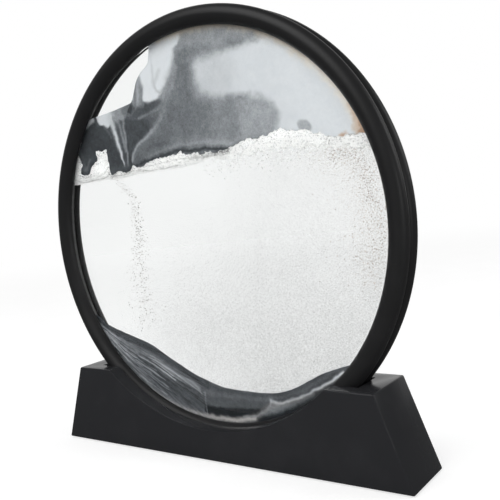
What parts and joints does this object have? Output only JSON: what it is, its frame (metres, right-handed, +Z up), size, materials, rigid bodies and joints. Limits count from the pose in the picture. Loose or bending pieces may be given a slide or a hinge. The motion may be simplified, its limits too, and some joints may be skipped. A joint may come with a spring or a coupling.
{
  "type": "moving sand art frame",
  "caption": "Round glass sand picture in a two-part ring frame that turns and lifts out of an arc slot in a low sloped stand.",
  "frame": {"origin": "on the surface that the feet stand on, under the middle of the base", "axes": "+X along the base to the viewer's right, +Y from the front face to the rear, +Z up"},
  "size_m": [0.178, 0.0266, 0.1841],
  "materials": {
    "base_plastic": "satin",
    "plate_plastic": "matte",
    "screw_steel": "satin",
    "foot_rubber": "matte",
    "ring_plastic": "satin",
    "cell_glass": "polished",
    "foam_tape": "matte",
    "seal_rubber": "matte",
    "plug_rubber": "matte",
    "clear_liquid": "polished",
    "pale_sand": "matte",
    "black_sand": "matte",
    "dark_grey_sand": "matte",
    "grey_sand": "matte",
    "milky_sand": "matte",
    "white_froth": "matte",
    "streaked_sand": "matte"
  },
  "bodies": {
    "base": {"base_shell": "base_plastic", "bottom_plate": "plate_plastic", "plate_screw_1": "screw_steel", "plate_screw_2": "screw_steel", "plate_screw_3": "screw_steel", "plate_screw_4": "screw_steel", "foot_pad_1": "foot_rubber", "foot_pad_2": "foot_rubber", "foot_pad_3": "foot_rubber", "foot_pad_4": "foot_rubber"},
    "liquid": {"liquid_fill": "clear_liquid"},
    "sand_frame": {"front_ring": "ring_plastic", "rear_ring": "ring_plastic", "front_glass": "cell_glass", "rear_glass": "cell_glass", "front_tape": "foam_tape", "rear_tape": "foam_tape", "spacer_seal": "seal_rubber", "fill_plug": "plug_rubber", "upper_pale_fold": "pale_sand", "upper_black_drift": "black_sand", "upper_dark_band": "dark_grey_sand", "upper_grey_drift": "grey_sand", "upper_milky_drift": "milky_sand", "froth_band": "white_froth", "lower_streaked_slope": "streaked_sand", "lower_dark_crest": "dark_grey_sand", "lower_black_hollow": "black_sand", "lower_pale_ridge": "milky_sand", "lower_grey_dune": "grey_sand"}
  },
  "joints": [
    {"name": "frame_lift", "type": "slide", "parent": "base", "child": "liquid", "axis": [0, 0, 1], "range_m": [0, 0.04]},
    {"name": "frame_spin", "type": "hinge", "parent": "liquid", "child": "sand_frame", "pos_m": [0, 0, 0.0951], "axis": [0, -1, 0], "continuous": true}
  ]
}
